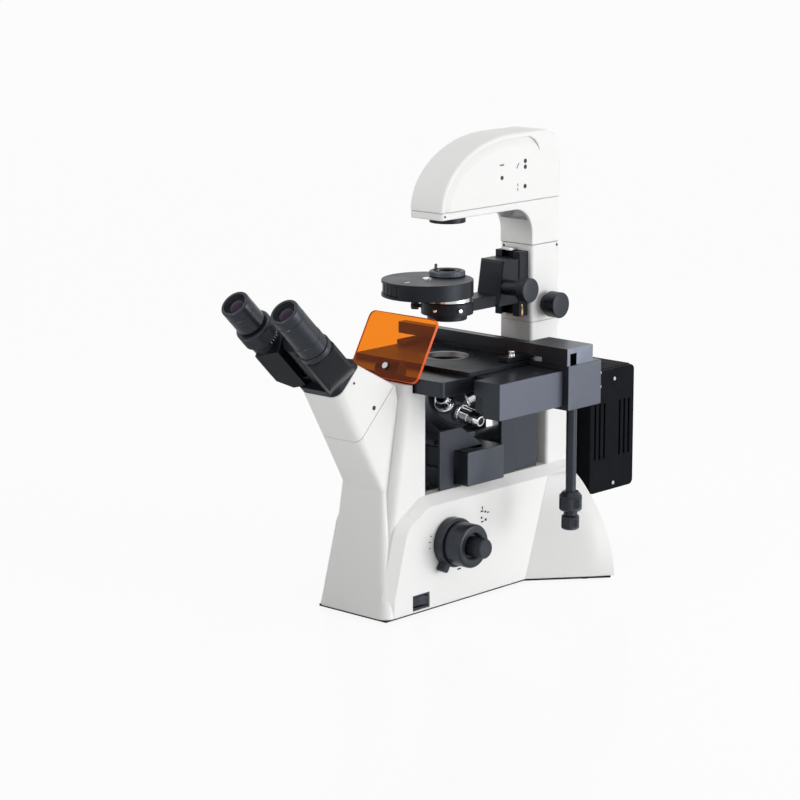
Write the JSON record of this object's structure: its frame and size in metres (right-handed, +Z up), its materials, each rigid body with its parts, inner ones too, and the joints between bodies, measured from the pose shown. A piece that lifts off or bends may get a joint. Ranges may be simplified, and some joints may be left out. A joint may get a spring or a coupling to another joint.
{
  "type": "inverted microscope",
  "caption": "Inverted microscope with binocular tubes on a white stand, objectives below the stage, a condenser and lamp arm above it, and a fluorescence lamp house behind.",
  "frame": {"origin": "on the bench, under the middle of the bounding box", "axes": "+X the operator's right, +Y away from the operator, +Z up"},
  "size_m": [0.247, 0.5376, 0.4816],
  "materials": {
    "white_paint": "satin white paint on cast metal",
    "black_paint": "satin black paint on metal",
    "anodised_black": "black anodised aluminium",
    "black_plastic": "matt black moulded plastic",
    "rubber": "matt black rubber",
    "steel": "ground steel",
    "chrome": "bright chrome plate",
    "orange_acrylic": "clear orange acrylic sheet",
    "lens": "coated optical glass",
    "mirror": "front-silvered mirror"
  },
  "bodies": {
    "stand": {"base_plate": "black_paint", "rubber_feet": "rubber", "base_housing": "white_paint", "nose_cover": "white_paint", "main_mirror": "mirror", "tube_lens": "lens", "window_panels": "black_paint", "filter_guide": "anodised_black", "epi_tube": "anodised_black", "lamp_house": "black_paint", "lamp_house_covers": "black_paint", "arc_lamp": "lens", "focus_guide": "steel", "stage_frame": "anodised_black", "stage_plate": "black_paint", "stage_insert": "anodised_black", "y_guide": "anodised_black", "uv_shield": "orange_acrylic", "shield_screw": "chrome", "switch_frame": "black_plastic", "power_inlet": "black_plastic", "head_body": "black_paint", "hinge_pin": "steel"},
    "focus_block": {"focus_carriage": "steel", "nosepiece_carrier": "anodised_black"},
    "turret": {"nosepiece": "anodised_black", "objective_10x": "chrome", "objective_4x": "chrome", "objective_20x": "chrome", "objective_40x": "chrome", "objective_lenses": "lens"},
    "coarse_drive": {"coarse_shaft": "steel", "coarse_knobs": "black_plastic"},
    "fine_drive": {"fine_shaft": "steel", "fine_knobs": "black_plastic"},
    "tension_lever": {"tension_ring": "black_plastic"},
    "filter_slide": {"filter_drawer": "anodised_black"},
    "cross_stage": {"y_carriage": "anodised_black", "x_bar": "anodised_black"},
    "specimen_slide": {"x_slider": "anodised_black"},
    "upper_stage_knob": {"y_shaft": "black_plastic"},
    "lower_stage_knob": {"x_shaft": "black_plastic"},
    "lamp_pillar": {"column": "white_paint", "arm_lower": "white_paint", "arm_cover": "white_paint", "field_lens_ring": "black_paint", "field_lens": "lens", "dovetail_rail": "black_paint"},
    "tilt_clamp": {"clamp_knob": "black_plastic"},
    "condenser": {"condenser_carrier": "black_paint", "condenser_housing": "black_paint"},
    "condenser_drive": {"condenser_knob": "black_plastic"},
    "phase_turret": {"phase_disc": "black_paint"},
    "iris": {"iris_ring": "anodised_black"},
    "right_tube": {"right_arm": "black_paint", "right_eyepiece": "black_paint"},
    "left_tube": {"left_arm": "black_paint"},
    "dioptre": {"dioptre_ring": "black_plastic"},
    "left_ocular": {"left_eyepiece": "black_paint"},
    "power_switch": {"power_rocker": "black_plastic"}
  },
  "joints": [
    {"name": "focus_travel", "type": "slide", "parent": "stand", "child": "focus_block", "axis": [0, 0, 1], "range_m": [-0.004, 0.003]},
    {"name": "turret_turn", "type": "hinge", "parent": "focus_block", "child": "turret", "pos_m": [-0.0115, 0.019, 0.197], "axis": [0.766, 0, 0.6428], "continuous": true},
    {"name": "coarse_focus", "type": "hinge", "parent": "stand", "child": "coarse_drive", "pos_m": [-0.0115, -0.032, 0.07], "axis": [1, 0, 0], "range_deg": [-40, 30]},
    {"name": "fine_focus", "type": "hinge", "parent": "coarse_drive", "child": "fine_drive", "pos_m": [-0.0115, -0.032, 0.07], "axis": [1, 0, 0], "continuous": true},
    {"name": "tension_turn", "type": "hinge", "parent": "stand", "child": "tension_lever", "pos_m": [-0.0115, -0.032, 0.07], "axis": [1, 0, 0], "range_deg": [-20, 60]},
    {"name": "filter_change", "type": "slide", "parent": "stand", "child": "filter_slide", "axis": [1, 0, 0], "range_m": [-0.036, 0]},
    {"name": "stage_y", "type": "slide", "parent": "stand", "child": "cross_stage", "axis": [0, 1, 0], "range_m": [-0.05, 0.025]},
    {"name": "stage_x", "type": "slide", "parent": "cross_stage", "child": "specimen_slide", "axis": [1, 0, 0], "range_m": [-0.02, 0.02]},
    {"name": "stage_y_knob", "type": "hinge", "parent": "cross_stage", "child": "upper_stage_knob", "pos_m": [0.1125, 0.075, 0.11], "axis": [0, 0, 1], "range_deg": [-360, 180]},
    {"name": "stage_x_knob", "type": "hinge", "parent": "cross_stage", "child": "lower_stage_knob", "pos_m": [0.1125, 0.075, 0.11], "axis": [0, 0, 1], "range_deg": [-95, 95]},
    {"name": "pillar_tilt", "type": "hinge", "parent": "stand", "child": "lamp_pillar", "pos_m": [-0.0115, 0.176, 0.2755], "axis": [-1, 0, 0], "range_deg": [0, 30]},
    {"name": "clamp_turn", "type": "hinge", "parent": "lamp_pillar", "child": "tilt_clamp", "pos_m": [-0.0115, 0.153, 0.294], "axis": [1, 0, 0], "range_deg": [-90, 45]},
    {"name": "condenser_travel", "type": "slide", "parent": "lamp_pillar", "child": "condenser", "axis": [0, 0, 1], "range_m": [-0.015, 0.006]},
    {"name": "condenser_focus", "type": "hinge", "parent": "condenser", "child": "condenser_drive", "pos_m": [-0.0115, 0.095, 0.318], "axis": [1, 0, 0], "range_deg": [-150, 60]},
    {"name": "phase_turn", "type": "hinge", "parent": "condenser", "child": "phase_turret", "pos_m": [-0.0115, -0.012, 0.3295], "axis": [0, 0, 1], "continuous": true},
    {"name": "iris_turn", "type": "hinge", "parent": "condenser", "child": "iris", "pos_m": [-0.0115, 0.019, 0.342], "axis": [0, 0, 1], "range_deg": [-45, 45]},
    {"name": "right_tube_swing", "type": "hinge", "parent": "stand", "child": "right_tube", "pos_m": [-0.0115, -0.15721, 0.25771], "axis": [0, -0.7071, 0.7071], "range_deg": [-23.9, 16.5]},
    {"name": "left_tube_swing", "type": "hinge", "parent": "stand", "child": "left_tube", "pos_m": [-0.0115, -0.15721, 0.25771], "axis": [0, -0.7071, 0.7071], "range_deg": [-16.5, 23.9]},
    {"name": "dioptre_turn", "type": "hinge", "parent": "left_tube", "child": "dioptre", "pos_m": [-0.0457, -0.23146, 0.31357], "axis": [0, -0.7071, 0.7071], "range_deg": [-174, 174]},
    {"name": "dioptre_travel", "type": "slide", "parent": "left_tube", "child": "left_ocular", "axis": [0, -0.7071, 0.7071], "range_m": [-0.0024, 0.0024]},
    {"name": "power_rock", "type": "hinge", "parent": "stand", "child": "power_switch", "pos_m": [0.034, -0.076, 0.01375], "axis": [0, 0, 1], "range_deg": [0, 11.6]}
  ],
  "couplings": [
    {"joint": "coarse_focus", "follows": "focus_travel", "rad_per_m": 166.67},
    {"joint": "stage_y_knob", "follows": "stage_y", "rad_per_m": 125},
    {"joint": "stage_x_knob", "follows": "stage_x", "rad_per_m": 80},
    {"joint": "condenser_focus", "follows": "condenser_travel", "rad_per_m": 166.67},
    {"joint": "left_tube_swing", "follows": "right_tube_swing", "ratio": -1},
    {"joint": "dioptre_turn", "follows": "dioptre_travel", "rad_per_m": 1250}
  ]
}
